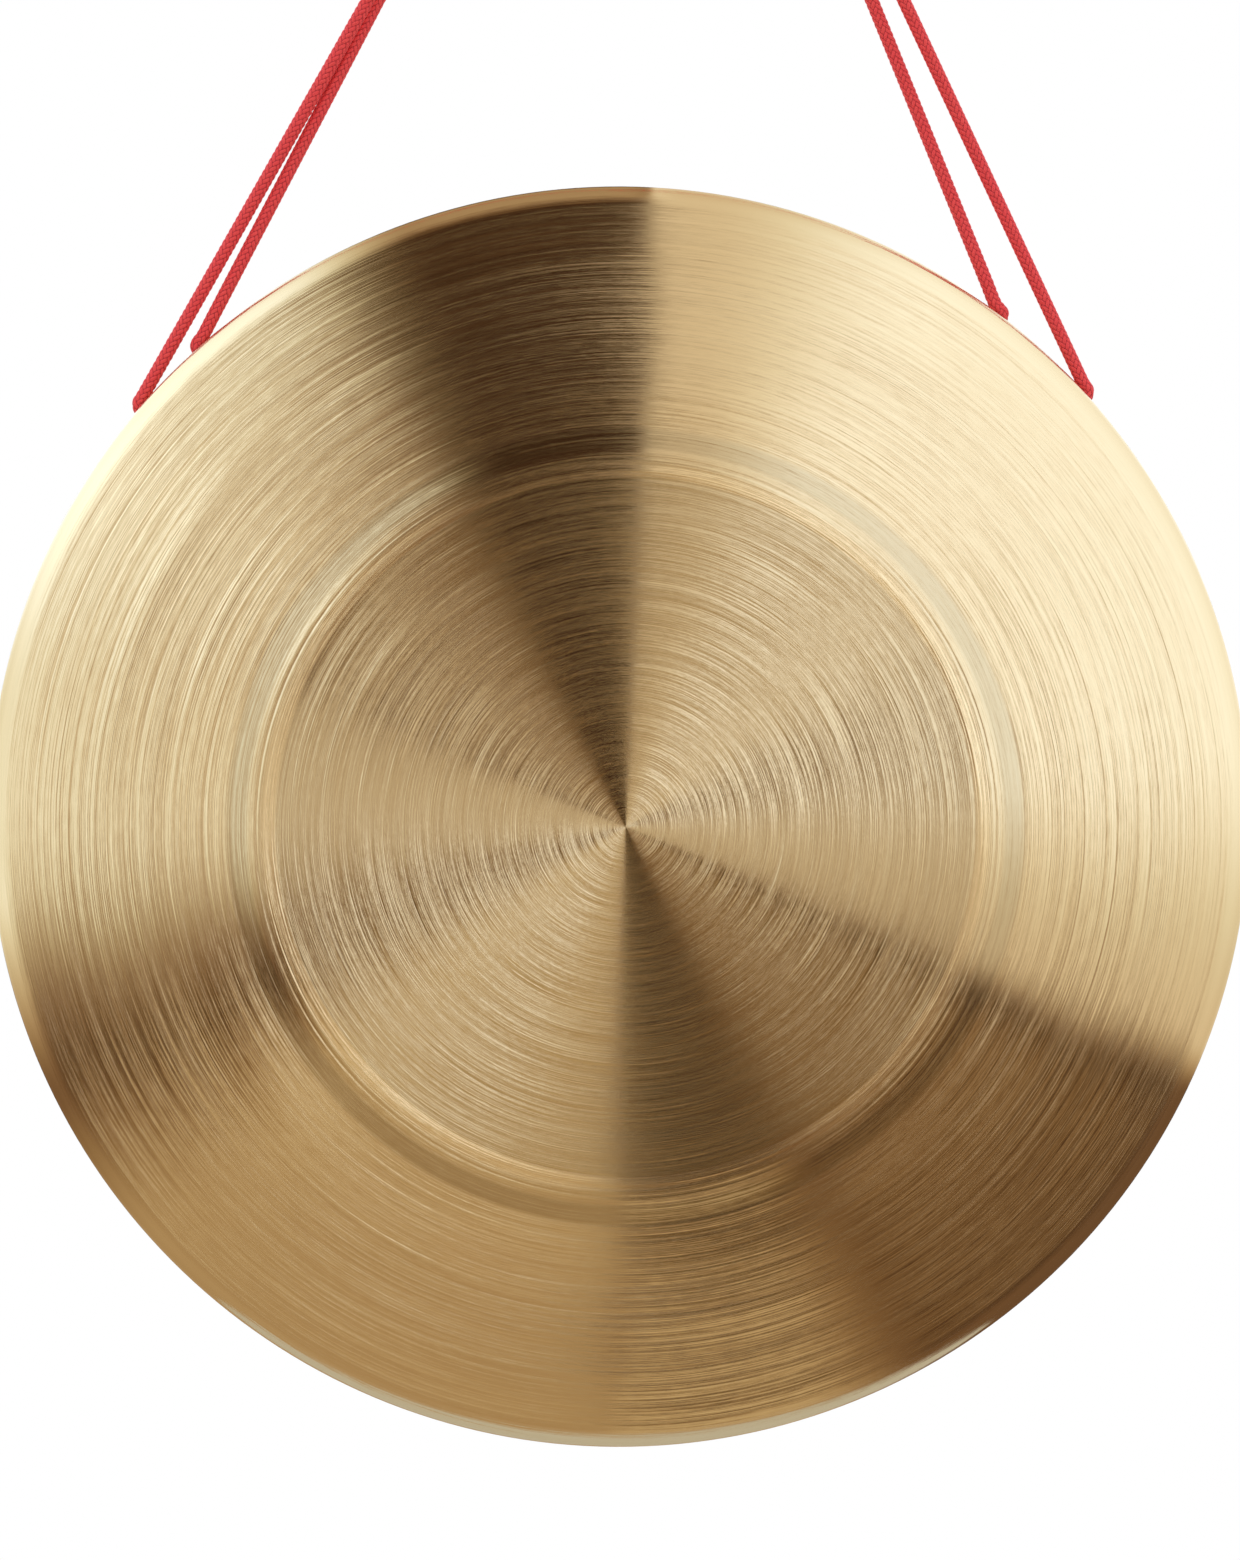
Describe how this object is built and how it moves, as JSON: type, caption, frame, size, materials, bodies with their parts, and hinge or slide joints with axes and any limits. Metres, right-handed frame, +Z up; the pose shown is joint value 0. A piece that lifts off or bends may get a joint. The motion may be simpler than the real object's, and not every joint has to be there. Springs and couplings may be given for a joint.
{
  "type": "hand gong",
  "caption": "Brass hand gong with a turned-back rim, hung square on one red braided cord that is wound above it into a hanging loop.",
  "frame": {"origin": "inside top of the hanging loop, where a hook or a finger bears", "axes": "+Z up, -Y the way the striking face looks, +X to the right as a player sees that face"},
  "size_m": [0.32, 0.0504, 0.5551],
  "materials": {
    "brass": "lathe-brushed in rings, with a soft shine",
    "red_braid": "braided, dull"
  },
  "bodies": {
    "loop": {"cord_loop": "red_braid"},
    "winding": {"cord_bundle": "red_braid", "cord_end_left": "red_braid", "cord_end_right": "red_braid"},
    "strands": {"cord_strand_left_outer": "red_braid", "cord_strand_left_inner": "red_braid", "cord_strand_right_inner": "red_braid", "cord_strand_right_outer": "red_braid"},
    "gong": {"gong_plate": "brass", "cord_bight_left": "red_braid", "cord_bight_right": "red_braid"}
  },
  "joints": [
    {"name": "twist", "type": "hinge", "parent": "loop", "child": "winding", "pos_m": [0, 0, -0.034], "axis": [0, 0, 1], "range_deg": [-90, 90]},
    {"name": "swing", "type": "hinge", "parent": "winding", "child": "strands", "pos_m": [0, 0, -0.05795], "axis": [1, 0, 0], "range_deg": [-20, 20]},
    {"name": "tilt", "type": "hinge", "parent": "strands", "child": "gong", "pos_m": [-0.00667, 0, -0.27468], "axis": [0.9985, 0, 0.0547], "range_deg": [-20, 20]}
  ]
}
